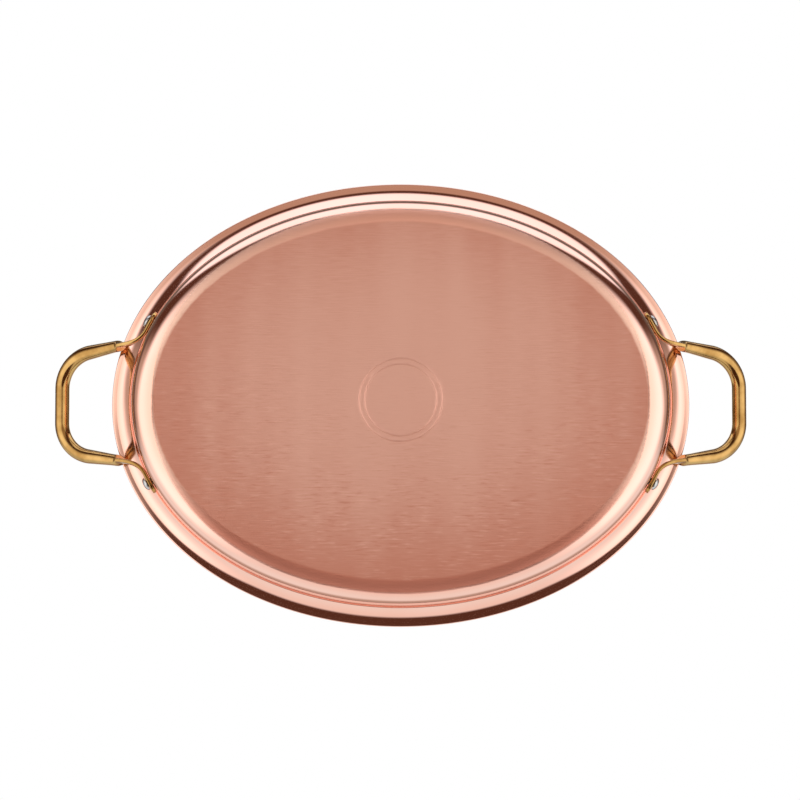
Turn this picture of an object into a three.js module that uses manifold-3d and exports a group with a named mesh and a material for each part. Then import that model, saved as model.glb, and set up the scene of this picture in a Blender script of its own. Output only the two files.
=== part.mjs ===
// Oval copper pan with a flared lip, two riveted brass handles and a lift-off lid.
// Millimetres, +Z up, +X along the oval. The origin is the middle of the base, where the pan stands.
import * as THREE from "three";
import { mergeVertices } from "three/addons/utils/BufferGeometryUtils.js";
import Module from "manifold-3d";

const wasm = await Module();
wasm.setup();

// Pan, pressed from one copper sheet
const RIM_LENGTH = 320;
const RIM_WIDTH = 246;
const PAN_HEIGHT = 38;
const PAN_SHEET = 1.5;
const CORNER_RADIUS = 13.7; // outside, between base and wall
const WALL_DRAFT = THREE.MathUtils.degToRad(6); // lean of the wall away from upright
const FLARE_START = THREE.MathUtils.degToRad(53); // climb of the flare where the wall folds out into it
const FLARE_REACH = 8.7; // from the fold out to the level lip
const FLARE_KNEE = 5.2; // from the fold out to where the flare's first and last tangents meet
const LIP_WIDTH = 2.4; // level edge outside the flare

// Handles, each one bent brass rod whose ends are pressed into flat straps
const ROD_DIAMETER = 8;
const ARM_THICKNESS = 6.2; // of the arms at the shoulder, a little flattened, from where they grow round
const ARM_WIDTH = 8.6;
const STRAP_THICKNESS = 2.4;
const STRAP_WIDTH = 10;
const SHOULDER_LENGTH = 2; // between the arm and the flat strap
const BEND_RADIUS = 19.5; // at the middle of the rod
const BAR_STRAIGHT = 19.3; // straight stretch of the bar between its two bends
const ARM_SPLAY = THREE.MathUtils.degToRad(9); // each arm opens towards the straps
const TAB_END = 6.5; // from the rivet to the tip of the strap
const TAB_SEAT = 4.5; // from the rivet to where the strap leaves the sheet
const STRAP_PULL = 0.4; // share of its free length over which a strap keeps each end's heading

// Handles on the pan
const GRIP_REACH = 29; // from the lip's edge out to the middle of the bar
const GRIP_RISE = 10; // from the top of the lip up to the middle of the bar
const SHOULDER_INSET = 6.3; // from the lip's edge in to the shoulder
const RIVET_SPACING = 88; // between the two rivets of one handle

// Handle on the lid
const LID_GRIP_HEIGHT = 30; // from the crown up to the middle of the bar
const LID_SHOULDER_HEIGHT = 8; // from the crown up to the shoulder
const LID_RIVET_SPACING = 88;

// Rivets, alike on the pan and on the lid
const SHANK_DIAMETER = 4;
const HEAD_DIAMETER = 7.4;
const HEAD_HEIGHT = 2;
const TAIL_DIAMETER = 9;
const TAIL_HEIGHT = 1.2;
const TAIL_CHAMFER = 0.4;

// Lid, pressed from one thinner copper sheet
const LID_SHEET = 1.2;
const LID_EDGE_INSET = 1.4; // from the lip's edge in to the lid's edge
const LID_GROOVE_DEPTH = 4.5; // how far the groove reaches below the top of the lip
const LID_GROOVE_RADIUS = 2.2; // of both bends of the groove, at the middle of the sheet
const LID_DOME_RISE = 22; // from the floor of the groove up to the crown

// Clearances
const SEAT_GAP = 0.3; // between pieces that rest on each other
const HOLE_CLEARANCE = 0.3; // round a rivet's shank
const MOUTH_CLEARANCE = 1; // between the lid's groove and the pan's mouth

// How finely round shapes are divided
const OVAL_SEGMENTS = 60;
const BEND_STEPS = 6;
const GROOVE_STEPS = 3;
const EDGE_STEPS = 4;
const DOME_STEPS = 6;
const STRAP_STEPS = 5;
const TIP_SHARES = [0.03, 0.15, 0.45, 1]; // of the way from just inside a strap's tip to its rivet
const ROD_SIDES = 12;
const RIVET_SIDES = 12;
const HEAD_STEPS = 3;
const HALVINGS = 40; // of a range in which a place is searched
const SMALL_TURN = 1e-3; // over which the oval counts as straight

const COPPER = { color: 0xd08a6c, metalness: 1, roughness: 0.2 };
const BRASS = { color: 0xb8913f, metalness: 1, roughness: 0.3 };
const RIVET_ALLOY = { color: 0xb9b6b2, metalness: 1, roughness: 0.35 };

const UP = new THREE.Vector3(0, 0, 1);
const ACROSS = new THREE.Vector3(0, 1, 0);
const QUARTER_TURN = Math.PI / 2;
const FULL_TURN = Math.PI * 2;

// Evenly spaced numbers from first to last, both included.
function spread(first, last, steps) {
  return Array.from({ length: steps + 1 }, (_, i) => first + ((last - first) * i) / steps);
}

// Place in a range where a rising function reaches a target.
function placeWhere(rising, target, first, last) {
  let low = first;
  let high = last;
  for (let i = 0; i < HALVINGS; i++) {
    const middle = (low + high) / 2;
    if (rising(middle) < target) low = middle;
    else high = middle;
  }
  return low;
}

// Pan profile: out is measured from the edge of the flat base, up from the table.
const cornerOut = CORNER_RADIUS * Math.cos(WALL_DRAFT);
const cornerTop = CORNER_RADIUS * (1 - Math.sin(WALL_DRAFT));
const lipLevel = PAN_HEIGHT - PAN_SHEET;
const wallTop = lipLevel - FLARE_KNEE * Math.tan(FLARE_START);
const foldOut = wallOutAt(wallTop);
const flareOut = foldOut + FLARE_REACH;
const rimOut = flareOut + LIP_WIDTH;
const baseHalfLength = RIM_LENGTH / 2 - rimOut;
const baseHalfWidth = RIM_WIDTH / 2 - rimOut;

// Outside of the straight wall at a height.
function wallOutAt(height) {
  return cornerOut + (height - cornerTop) * Math.tan(WALL_DRAFT);
}

// A profile point also carries the direction that leads through the sheet to its upper face.
function cornerPoint(turn) {
  const out = CORNER_RADIUS * Math.sin(turn);
  const up = CORNER_RADIUS * (1 - Math.cos(turn));
  return { out, up, inward: [-Math.sin(turn), Math.cos(turn)] };
}

// At the fold the direction halves the angle, and is longer so that both sides keep the sheet's thickness.
function foldPoint() {
  const wallClimb = QUARTER_TURN - WALL_DRAFT;
  const climb = (wallClimb + FLARE_START) / 2;
  const stretch = 1 / Math.cos((wallClimb - FLARE_START) / 2);
  return { out: foldOut, up: wallTop, inward: [-Math.sin(climb) * stretch, Math.cos(climb) * stretch] };
}

const flareCurve = new THREE.QuadraticBezierCurve(
  new THREE.Vector2(foldOut, wallTop),
  new THREE.Vector2(foldOut + FLARE_KNEE, lipLevel),
  new THREE.Vector2(flareOut, lipLevel),
);

function flarePoint(share) {
  const point = flareCurve.getPoint(share);
  const along = flareCurve.getTangent(share);
  return { out: point.x, up: point.y, inward: [-along.y, along.x] };
}

function throughSheet(point, depth) {
  return { out: point.out + point.inward[0] * depth, up: point.up + point.inward[1] * depth };
}

// Round edge of a level sheet, between its lower and its upper face.
function edgePoints(out, middle, sheet) {
  const radius = sheet / 2;
  const turns = spread(-QUARTER_TURN, QUARTER_TURN, EDGE_STEPS).slice(1, -1);
  return turns.map((turn) => ({
    out: out - radius * (1 - Math.cos(turn)),
    up: middle + radius * Math.sin(turn),
  }));
}

function panProfile() {
  const lip = { out: rimOut - PAN_SHEET / 2, up: lipLevel, inward: [0, 1] };
  const corner = spread(0, QUARTER_TURN - WALL_DRAFT, BEND_STEPS).map(cornerPoint);
  const flare = spread(0, 1, BEND_STEPS).slice(1).map(flarePoint);
  const outside = [...corner, foldPoint(), ...flare, lip];
  const inside = outside.map((point) => throughSheet(point, PAN_SHEET)).reverse();
  return [...outside, ...edgePoints(rimOut, PAN_HEIGHT - PAN_SHEET / 2, PAN_SHEET), ...inside];
}

// Inside of the flared mouth at a height.
function mouthOutAt(height) {
  const inside = (share) => throughSheet(flarePoint(share), PAN_SHEET);
  return inside(placeWhere((share) => inside(share).up, height, 0, 1)).out;
}

// Oval: the edge of the flat base is an ellipse, and every other level line runs parallel to it.
function ovalNormal(turn) {
  return new THREE.Vector3(Math.cos(turn) / baseHalfLength, Math.sin(turn) / baseHalfWidth, 0).normalize();
}

function ovalPoint(turn, out, height) {
  const edge = new THREE.Vector3(baseHalfLength * Math.cos(turn), baseHalfWidth * Math.sin(turn), height);
  return edge.addScaledVector(ovalNormal(turn), out);
}

function ovalRing(out, height) {
  const turns = spread(0, FULL_TURN, OVAL_SEGMENTS).slice(1);
  return turns.map((turn) => ovalPoint(turn, out, height));
}

// Turn reached by walking a short distance along the oval, backwards where the distance is negative.
function ovalTurnAlong(turn, out, distance) {
  const pace = ovalPoint(turn + SMALL_TURN, out, 0).distanceTo(ovalPoint(turn, out, 0)) / SMALL_TURN;
  return turn + distance / pace;
}

// Closed surface through rings of equally many points, ended at each side by a point.
function skin(rings, firstEnd, lastEnd) {
  const count = rings[0].length;
  const last = 1 + rings.length * count;
  const at = (ring, i) => 1 + ring * count + (i % count);
  const index = [];
  for (let i = 0; i < count; i++) {
    index.push(0, at(0, i + 1), at(0, i));
    for (let ring = 0; ring + 1 < rings.length; ring++) {
      index.push(at(ring, i), at(ring, i + 1), at(ring + 1, i));
      index.push(at(ring, i + 1), at(ring + 1, i + 1), at(ring + 1, i));
    }
    index.push(last, at(rings.length - 1, i), at(rings.length - 1, i + 1));
  }
  return new THREE.BufferGeometry().setFromPoints([firstEnd, ...rings.flat(), lastEnd]).setIndex(index);
}

function solidFrom(geometry) {
  const bare = geometry.clone();
  bare.deleteAttribute("normal");
  bare.deleteAttribute("uv");
  const merged = mergeVertices(bare);
  const vertProperties = new Float32Array(merged.attributes.position.array);
  const triVerts = new Uint32Array(merged.index.array);
  return new wasm.Manifold(new wasm.Mesh({ numProp: 3, vertProperties, triVerts }));
}

// A seat is a point on a sheet's outer face and the direction that leaves the sheet there.
function seatMatrix(seat) {
  const turned = new THREE.Quaternion().setFromUnitVectors(ACROSS, seat.outward);
  return new THREE.Matrix4().makeRotationFromQuaternion(turned).setPosition(seat.point);
}

// The geometry with a rivet hole through it at each seat.
function drilled(geometry, seats) {
  const radius = SHANK_DIAMETER / 2 + HOLE_CLEARANCE;
  const length = 2 * (PAN_SHEET + LID_SHEET + STRAP_THICKNESS + 2 * SEAT_GAP);
  let solid = solidFrom(geometry);
  for (const seat of seats) {
    const drill = new THREE.CylinderGeometry(radius, radius, length, RIVET_SIDES);
    solid = solid.subtract(solidFrom(drill.applyMatrix4(seatMatrix(seat))));
  }
  const mesh = solid.getMesh();
  const position = new THREE.BufferAttribute(mesh.vertProperties, 3);
  const index = new THREE.BufferAttribute(mesh.triVerts, 1);
  return new THREE.BufferGeometry().setAttribute("position", position).setIndex(index);
}

function piece(name, geometry, look) {
  const mesh = new THREE.Mesh(geometry, new THREE.MeshStandardMaterial(look));
  mesh.name = name;
  return mesh;
}

// Rivet with its head outside the strap and its tail inside the sheet.
function rivet(name, seat, sheet) {
  const headSeat = SEAT_GAP + STRAP_THICKNESS + SEAT_GAP;
  const tailSeat = -sheet - SEAT_GAP;
  const tailEnd = tailSeat - TAIL_HEIGHT;
  const tailRadius = TAIL_DIAMETER / 2;
  const dome = spread(0, QUARTER_TURN, HEAD_STEPS).slice(0, -1);
  const outline = [
    [0, tailEnd],
    [tailRadius - TAIL_CHAMFER, tailEnd],
    [tailRadius, tailEnd + TAIL_CHAMFER],
    [tailRadius, tailSeat],
    [SHANK_DIAMETER / 2, tailSeat],
    [SHANK_DIAMETER / 2, headSeat],
    ...dome.map((turn) => [(HEAD_DIAMETER / 2) * Math.cos(turn), headSeat + HEAD_HEIGHT * Math.sin(turn)]),
    [0, headSeat + HEAD_HEIGHT],
  ];
  const geometry = new THREE.LatheGeometry(outline.map(([x, y]) => new THREE.Vector2(x, y)), RIVET_SIDES);
  const mesh = piece(name, geometry, RIVET_ALLOY);
  mesh.applyMatrix4(seatMatrix(seat));
  return mesh;
}

// Sections of a handle: a circle at power 2, a rectangle with round corners at a higher power.
const ROUND = { halfThin: ROD_DIAMETER / 2, halfWide: ROD_DIAMETER / 2, power: 2 };
const ARM = { halfThin: ARM_THICKNESS / 2, halfWide: ARM_WIDTH / 2, power: 2.5 };
const FLAT = { halfThin: STRAP_THICKNESS / 2, halfWide: STRAP_WIDTH / 2, power: 5 };

function sectionPoint({ halfThin, halfWide, power }, turn) {
  const swell = (value) => Math.sign(value) * Math.abs(value) ** (2 / power);
  return [halfThin * swell(Math.cos(turn)), halfWide * swell(Math.sin(turn))];
}

// Flat section at a distance from the strap's round tip.
function tipSection(distance) {
  const missing = Math.max(1 - distance / FLAT.halfWide, 0);
  return { ...FLAT, halfWide: FLAT.halfWide * Math.sqrt(1 - missing ** 2) };
}

// Distances from the strap's tip to its stations on the sheet.
const tabDistances = TIP_SHARES.map((share) => share * TAB_END);
tabDistances.push(TAB_END + TAB_SEAT / 2, TAB_END + TAB_SEAT);

// Half of the rod's outline in its own plane, from the shoulder to the middle of the bar.
// reach is measured from the bar back to the straps, side from the middle of the handle.
function rodOutline(shoulderReach) {
  const bend = spread(QUARTER_TURN - ARM_SPLAY, 0, BEND_STEPS).map((turn) => ({
    reach: BEND_RADIUS * (1 - Math.cos(turn)),
    side: BAR_STRAIGHT / 2 + BEND_RADIUS * Math.sin(turn),
    section: ROUND,
  }));
  const onArm = (reach, section) => {
    return { reach, side: bend[0].side + (reach - bend[0].reach) * Math.tan(ARM_SPLAY), section };
  };
  const shoulder = [onArm(shoulderReach, FLAT), onArm(shoulderReach - SHOULDER_LENGTH, ARM)];
  return [...shoulder, ...bend, { reach: 0, side: 0, section: ROUND }];
}

// Free stretch of a strap, from a place and heading on the sheet to a place and heading at the shoulder.
function freeStrap(start, startHeading, end, endHeading) {
  const pull = start.distanceTo(end) * STRAP_PULL;
  const leave = start.clone().addScaledVector(startHeading, pull);
  const arrive = end.clone().addScaledVector(endHeading, -pull);
  return new THREE.CubicBezierCurve3(start, leave, arrive, end).getPoints(STRAP_STEPS).slice(1);
}

// One unbroken bar. A station has a middle, a section and the direction in which the strap is wide.
function barGeometry(stations) {
  const turns = spread(0, FULL_TURN, ROD_SIDES).slice(1);
  const rings = stations.map(({ middle, section, wide }, i) => {
    const before = stations[Math.max(i - 1, 0)].middle;
    const after = stations[Math.min(i + 1, stations.length - 1)].middle;
    const along = after.clone().sub(before).normalize();
    const upright = wide.clone().addScaledVector(along, -wide.dot(along)).normalize();
    const sideways = upright.clone().cross(along);
    return turns.map((turn) => {
      const [thinPart, widePart] = sectionPoint(section, turn);
      return middle.clone().addScaledVector(sideways, thinPart).addScaledVector(upright, widePart);
    });
  });
  return skin(rings, stations[0].middle, stations[stations.length - 1].middle);
}

function mirrored(vector, axis) {
  const copy = vector.clone();
  copy[axis] = -copy[axis];
  return copy;
}

// A handle's second half is the mirror image of its first, run backwards.
function withMirrorImage(half, axis) {
  const image = half.slice(0, -1).reverse();
  return [
    ...half,
    ...image.map((s) => ({ ...s, middle: mirrored(s.middle, axis), wide: mirrored(s.wide, axis) })),
  ];
}

function mirroredSeat(seat, axis) {
  return { point: mirrored(seat.point, axis), outward: mirrored(seat.outward, axis) };
}

// Handle on the pan: its straps lie along the wall, half way up the straight part.
const tabHeight = (cornerTop + wallTop) / 2;
const strapOut = wallOutAt(tabHeight) + (SEAT_GAP + STRAP_THICKNESS / 2) / Math.cos(WALL_DRAFT);
const rivetTurn = placeWhere((turn) => ovalPoint(turn, strapOut, 0).y, RIVET_SPACING / 2, 0, QUARTER_TURN);

function panHandleStations() {
  const barX = RIM_LENGTH / 2 + GRIP_REACH;
  const outline = rodOutline(GRIP_REACH + SHOULDER_INSET);
  const tab = tabDistances.map((distance) => {
    const turn = ovalTurnAlong(rivetTurn, strapOut, TAB_END - distance);
    const lean = ovalNormal(turn).multiplyScalar(Math.tan(WALL_DRAFT));
    return { middle: ovalPoint(turn, strapOut, 0), wide: lean.add(UP), section: tipSection(distance) };
  });
  const [beforeLeaving, leaving] = tab.slice(-2).map((station) => station.middle);
  const shoulder = new THREE.Vector3(barX - outline[0].reach, outline[0].side, 0);
  const wallHeading = leaving.clone().sub(beforeLeaving).normalize();
  const armHeading = new THREE.Vector3(Math.cos(ARM_SPLAY), -Math.sin(ARM_SPLAY), 0);
  const free = freeStrap(leaving, wallHeading, shoulder, armHeading);
  const half = [
    ...tab,
    ...free.map((middle) => ({ middle, wide: UP, section: FLAT })),
    ...outline.slice(1).map(({ reach, side, section }) => {
      return { middle: new THREE.Vector3(barX - reach, side, 0), wide: UP, section };
    }),
  ];
  // The free strap bends upwards, and the rod then rises in one plane to the bar.
  const bendRun = shoulder.x - leaving.x;
  const slope = (PAN_HEIGHT + GRIP_RISE - tabHeight) / (barX - shoulder.x + bendRun / 2);
  for (const { middle } of half) {
    const bent = THREE.MathUtils.clamp(middle.x - leaving.x, 0, bendRun);
    const straight = Math.max(middle.x - shoulder.x, 0);
    middle.z = tabHeight + slope * (bent ** 2 / (2 * bendRun) + straight);
  }
  return withMirrorImage(half, "y");
}

function panSeats() {
  const point = ovalPoint(rivetTurn, wallOutAt(tabHeight), tabHeight);
  const outward = ovalNormal(rivetTurn).addScaledVector(UP, -Math.tan(WALL_DRAFT)).normalize();
  const back = { point, outward };
  return { back, front: mirroredSeat(back, "y") };
}

// Lid profile, at the middle of its sheet
const lidLevel = PAN_HEIGHT + SEAT_GAP + LID_SHEET / 2;
const lidOut = rimOut - LID_EDGE_INSET;
const grooveBottom = PAN_HEIGHT - LID_GROOVE_DEPTH;
const grooveFloor = grooveBottom + LID_SHEET / 2;
const grooveOut = mouthOutAt(grooveBottom) - MOUTH_CLEARANCE - LID_SHEET / 2;
const grooveRadius = Math.min(LID_GROOVE_RADIUS, (lidLevel - grooveFloor) / 2);
const domeOut = grooveOut - grooveRadius;
const domeHalfLength = baseHalfLength + domeOut;
const crown = grooveFloor + LID_DOME_RISE;

function downBendPoint(turn) {
  const out = grooveOut + grooveRadius * (1 - Math.sin(turn));
  const up = lidLevel - grooveRadius * (1 - Math.cos(turn));
  return { out, up, inward: [-Math.sin(turn), Math.cos(turn)] };
}

function grooveBendPoint(turn) {
  const out = domeOut + grooveRadius * Math.cos(turn);
  const up = grooveFloor + grooveRadius * (1 - Math.sin(turn));
  return { out, up, inward: [-Math.cos(turn), Math.sin(turn)] };
}

// Height of the dome at a share of the way from the crown to the groove; it is level at both.
function domeHeight(share) {
  return grooveFloor + LID_DOME_RISE * (1 - share ** 2) ** 2;
}

function domeSlope(share) {
  return (-4 * LID_DOME_RISE * share * (1 - share ** 2)) / domeHalfLength;
}

function domeRing(share, above) {
  const height = domeHeight(share) + above;
  return ovalRing(domeOut, 0).map((foot) => foot.multiplyScalar(share).setZ(height));
}

function lidGeometry() {
  const half = LID_SHEET / 2;
  const shares = spread(0, 1, DOME_STEPS).slice(1, -1);
  const groove = spread(QUARTER_TURN, 0, GROOVE_STEPS).map(grooveBendPoint);
  const bend = spread(QUARTER_TURN, 0, GROOVE_STEPS).map(downBendPoint);
  const level = { out: lidOut - half, up: lidLevel, inward: [0, 1] };
  const middle = [...groove, ...bend, level];
  const below = middle.map((point) => throughSheet(point, -half));
  const above = middle.map((point) => throughSheet(point, half)).reverse();
  const edge = edgePoints(lidOut, lidLevel, LID_SHEET);
  const rings = [
    ...shares.map((share) => domeRing(share, -half)),
    ...[...below, ...edge, ...above].map(({ out, up }) => ovalRing(out, up)),
    ...shares.reverse().map((share) => domeRing(share, half)),
  ];
  return skin(rings, new THREE.Vector3(0, 0, crown - half), new THREE.Vector3(0, 0, crown + half));
}

// Seat on the long axis of the dome, a height above the middle of its sheet.
function overDome(x, height) {
  const share = x / domeHalfLength;
  const outward = new THREE.Vector3(-domeSlope(share), 0, 1).normalize();
  const point = new THREE.Vector3(x, 0, domeHeight(share)).addScaledVector(outward, height);
  return { point, outward };
}

function lidHandleStations() {
  const barZ = crown + LID_GRIP_HEIGHT;
  const outline = rodOutline(LID_GRIP_HEIGHT - LID_SHOULDER_HEIGHT);
  const seatHeight = LID_SHEET / 2 + SEAT_GAP + STRAP_THICKNESS / 2;
  const tab = tabDistances.map((distance) => {
    const { point } = overDome(LID_RIVET_SPACING / 2 + TAB_END - distance, seatHeight);
    return { middle: point, wide: ACROSS, section: tipSection(distance) };
  });
  const [beforeLeaving, leaving] = tab.slice(-2).map((station) => station.middle);
  const shoulder = new THREE.Vector3(outline[0].side, 0, barZ - outline[0].reach);
  const domeHeading = leaving.clone().sub(beforeLeaving).normalize();
  const armHeading = new THREE.Vector3(-Math.sin(ARM_SPLAY), 0, Math.cos(ARM_SPLAY));
  const free = freeStrap(leaving, domeHeading, shoulder, armHeading);
  const half = [
    ...tab,
    ...free.map((middle) => ({ middle, wide: ACROSS, section: FLAT })),
    ...outline.slice(1).map(({ reach, side, section }) => {
      return { middle: new THREE.Vector3(side, 0, barZ - reach), wide: ACROSS, section };
    }),
  ];
  return withMirrorImage(half, "x");
}

function pan() {
  const group = new THREE.Group();
  const { front, back } = panSeats();
  const seats = { right_front: front, right_back: back };
  seats.left_front = mirroredSeat(front, "x");
  seats.left_back = mirroredSeat(back, "x");
  const rings = panProfile().map(({ out, up }) => ovalRing(out, up));
  const shell = skin(rings, new THREE.Vector3(0, 0, 0), new THREE.Vector3(0, 0, PAN_SHEET));
  group.add(piece("pan_body", drilled(shell, Object.values(seats)), COPPER));
  const handle = drilled(barGeometry(panHandleStations()), [front, back]);
  const left = piece("left_handle", handle, BRASS);
  left.rotation.z = Math.PI;
  group.add(piece("right_handle", handle, BRASS), left);
  for (const [place, seat] of Object.entries(seats)) {
    group.add(rivet(`${place}_rivet`, seat, PAN_SHEET));
  }
  return group;
}

function lid() {
  const group = new THREE.Group();
  const right = overDome(LID_RIVET_SPACING / 2, LID_SHEET / 2);
  const left = mirroredSeat(right, "x");
  group.add(piece("lid_shell", drilled(lidGeometry(), [left, right]), COPPER));
  group.add(piece("lid_handle", drilled(barGeometry(lidHandleStations()), [left, right]), BRASS));
  group.add(rivet("lid_left_rivet", left, LID_SHEET), rivet("lid_right_rivet", right, LID_SHEET));
  return group;
}

const ovalPan = new THREE.Group();
ovalPan.add(pan(), lid());

export default ovalPan;
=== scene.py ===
import math

import bmesh
import bpy
import numpy as np
from mathutils import Matrix, Vector


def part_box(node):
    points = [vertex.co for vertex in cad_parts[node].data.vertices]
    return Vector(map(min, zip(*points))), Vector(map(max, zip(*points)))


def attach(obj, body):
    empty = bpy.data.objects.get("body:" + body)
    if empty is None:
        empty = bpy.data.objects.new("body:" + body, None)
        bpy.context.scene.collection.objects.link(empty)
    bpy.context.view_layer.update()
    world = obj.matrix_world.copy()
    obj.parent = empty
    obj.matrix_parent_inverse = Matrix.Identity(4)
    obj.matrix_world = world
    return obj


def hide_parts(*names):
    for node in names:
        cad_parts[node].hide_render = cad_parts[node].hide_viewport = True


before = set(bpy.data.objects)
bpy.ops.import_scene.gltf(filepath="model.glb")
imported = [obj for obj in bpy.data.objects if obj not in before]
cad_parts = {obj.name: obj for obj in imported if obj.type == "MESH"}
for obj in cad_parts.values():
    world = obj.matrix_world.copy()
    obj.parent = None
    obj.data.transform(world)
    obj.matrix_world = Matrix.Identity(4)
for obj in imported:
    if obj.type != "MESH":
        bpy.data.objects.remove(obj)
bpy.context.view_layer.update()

# Shapes are worked out in millimetres, and a mesh is made in metres.
MM = 0.001


def node_size(name):
    low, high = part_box(name)
    return (high - low) / MM


# Pan, pressed from one copper sheet
RIM_LENGTH, RIM_WIDTH, PAN_HEIGHT = node_size("pan_body")
PAN_SHEET = 1.5
CORNER_RADIUS = 13.7  # outside, between base and wall
WALL_DRAFT = math.radians(6)  # lean of the wall away from upright
FLARE_START = math.radians(53)  # climb of the flare where the wall folds out into it
FLARE_REACH = 8.7  # from the fold out to the level lip
FLARE_KNEE = 5.2  # from the fold out to where the flare's first and last tangents meet
LIP_WIDTH = 2.4  # level edge outside the flare
FOLD_SOFTNESS = 2.4  # how far from the fold its bend begins

# Plain double ring pressed into the middle of the base
PRESSED_RADII = (19.5, 22.5)
PRESSED_WIDTH = 1.1
PRESSED_DEPTH = 0.25
PRESSED_FIELD = 30  # radius inside which the base is laid out in circles

# Brushed base and its satin border
SATIN_REACH = 0.8  # how far it reaches round the corner at the ends
SATIN_REACH_GROWTH = 7.1  # how much further it reaches at the long sides
SATIN_GROWTH_POWER = 1.3  # of the growth from the ends to the long sides
SATIN_EDGE = 1.1  # half the width of its soft outer edge
LONG_SIDE_POWER = 8  # how closely what is special to the long sides keeps to their middles
PAINTED_SHEEN_SHIFT = 12  # how far in front of the middle the painted sheen on the base is palest

# Values for the flat base and for all that lies past the lip, well clear of the borders of the finishes
WELL_INSIDE = -20
WELL_OUTSIDE = 40

# Handles, each one bent brass rod whose ends are pressed into flat straps
ROD_DIAMETER = 8
ARM_THICKNESS = 6.2  # of the arms at the shoulder, a little flattened, from where they grow round
ARM_WIDTH = 8.6
STRAP_THICKNESS = 2.4
STRAP_WIDTH = 10
ROD_POWER = 2  # of a section's outline: a circle or an ellipse at 2, and squarer above
ARM_POWER = 2.5
STRAP_POWER = 5
SHOULDER_LENGTH = 2  # between the arm and the flat strap
BEND_RADIUS = 19.5  # at the middle of the rod
BAR_STRAIGHT = 19.3  # straight stretch of the bar between its two bends
ARM_SPLAY = math.radians(9)  # each arm opens towards the straps
TAB_END = 6.5  # from the rivet to the tip of the strap
TAB_SEAT = 4.5  # from the rivet to where the strap leaves the sheet
TIP_THICKNESS = 0.6  # share of the strap's thickness that is left at its tip
STRAP_PULL = 0.4  # share of its free length over which a strap keeps each end's heading

# Handles on the pan
GRIP_REACH = 29  # from the lip's edge out to the middle of the bar
GRIP_RISE = 10  # from the top of the lip up to the middle of the bar
SHOULDER_INSET = 6.3  # from the lip's edge in to the shoulder
RIVET_SPACING = 88  # between the two rivets of one handle

# Handle on the lid
LID_GRIP_HEIGHT = 30  # from the crown up to the middle of the bar
LID_SHOULDER_HEIGHT = 8  # from the crown up to the shoulder
LID_RIVET_SPACING = 88

# Rivets, alike on the pan and on the lid
SHANK_DIAMETER = 4
HEAD_DIAMETER = 7.4
HEAD_HEIGHT = 2
TAIL_DIAMETER = 9
TAIL_HEIGHT = 1.2
TAIL_POWER = 0.4  # under 1, it makes the tail flat with round edges instead of a dome

# Lid, pressed from one thinner copper sheet
LID_SHEET = 1.2
LID_EDGE_INSET = 1.4  # from the lip's edge in to the lid's edge
LID_GROOVE_DEPTH = 4.5  # how far the groove reaches below the top of the lip
LID_GROOVE_RADIUS = 2.2  # of both bends of the groove, at the middle of the sheet
LID_DOME_RISE = 22  # from the floor of the groove up to the crown

# Clearances
SEAT_GAP = 0.3  # between pieces that rest on each other
MOUTH_CLEARANCE = 1  # between the lid's groove and the pan's mouth

# How finely shapes are divided
OVAL_SEGMENTS = 256
BEND_STEPS = 24
GROOVE_STEPS = 12
FOLD_STEPS = 12
EDGE_STEPS = 10
FLAT_STEPS = 12
DOME_STEPS = 40
TIP_STEPS = 9
TAB_STEPS = 7
STRAP_STEPS = 24
SHOULDER_STEPS = 6
ARM_STEPS = 5
BAR_STEPS = 3
ROD_SIDES = 40
RIVET_SIDES = 32
RIVET_STEPS = 10  # of a rivet's head, and of its tail
TENT_SUBDIVISIONS = 4
FIRST_TIP_TURN = 0.12  # just inside a strap's tip, where its section still has an area
SMALL_TURN = 0.001  # over which the oval counts as straight
SEARCH_POINTS = 100001  # on a line where a place is searched
MERGE_DISTANCE = 0.001

# The photograph's camera looks up at the base, leaning a little
PHOTO_PIXELS = 800
PHOTO_TILT = math.radians(4)
PHOTO_DISTANCE = 1500
PHOTO_SPAN = 443.7  # width that the picture covers at the level of the lip
RIM_CENTRE_PIXEL = (400.7, 404.4)

# Studio, in metres, and its tones
TENT_RADIUS = 3
FLOOR_REACH = 12
FLOOR_LEVEL = -0.0006  # just under the base
FLOOR_TONE = 0.866
HORIZON_TONE = 0.85
HORIZON_FADE = (0.12, 0.5)  # heights on a ball of radius 1 between which the horizon fades to white

QUARTER_TURN = math.pi / 2
FULL_TURN = math.pi * 2
UP = np.array([0, 0, 1.0])
ACROSS = np.array([0, 1.0, 0])


# Shapes


def unit(vectors):
    return vectors / np.linalg.norm(vectors, axis=-1, keepdims=True)


def ease(first, last, values):
    share = np.clip((values - first) / (last - first), 0, 1)
    return share * share * (3 - 2 * share)


corner_out = CORNER_RADIUS * math.cos(WALL_DRAFT)
corner_top = CORNER_RADIUS * (1 - math.sin(WALL_DRAFT))
lip_level = PAN_HEIGHT - PAN_SHEET
wall_top = lip_level - FLARE_KNEE * math.tan(FLARE_START)


def wall_out_at(height):
    return corner_out + (height - corner_top) * math.tan(WALL_DRAFT)


fold_out = wall_out_at(wall_top)
flare_out = fold_out + FLARE_REACH
rim_out = flare_out + LIP_WIDTH
base_half = np.array([RIM_LENGTH / 2 - rim_out, RIM_WIDTH / 2 - rim_out])

RING_TURNS = np.linspace(0, FULL_TURN, OVAL_SEGMENTS, endpoint=False)


def oval_normal(turns):
    return unit(np.column_stack([np.cos(turns), np.sin(turns)]) / base_half)


def oval_points(turns, out, up):
    """Points on a level line that runs a distance outside the edge of the flat base."""
    edge = np.column_stack([np.cos(turns), np.sin(turns)]) * base_half
    flat = edge + oval_normal(turns) * out
    return np.column_stack([flat, np.full(len(flat), up)])


def oval_rings(profile):
    return [oval_points(RING_TURNS, out, up) for out, up in profile]


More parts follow.
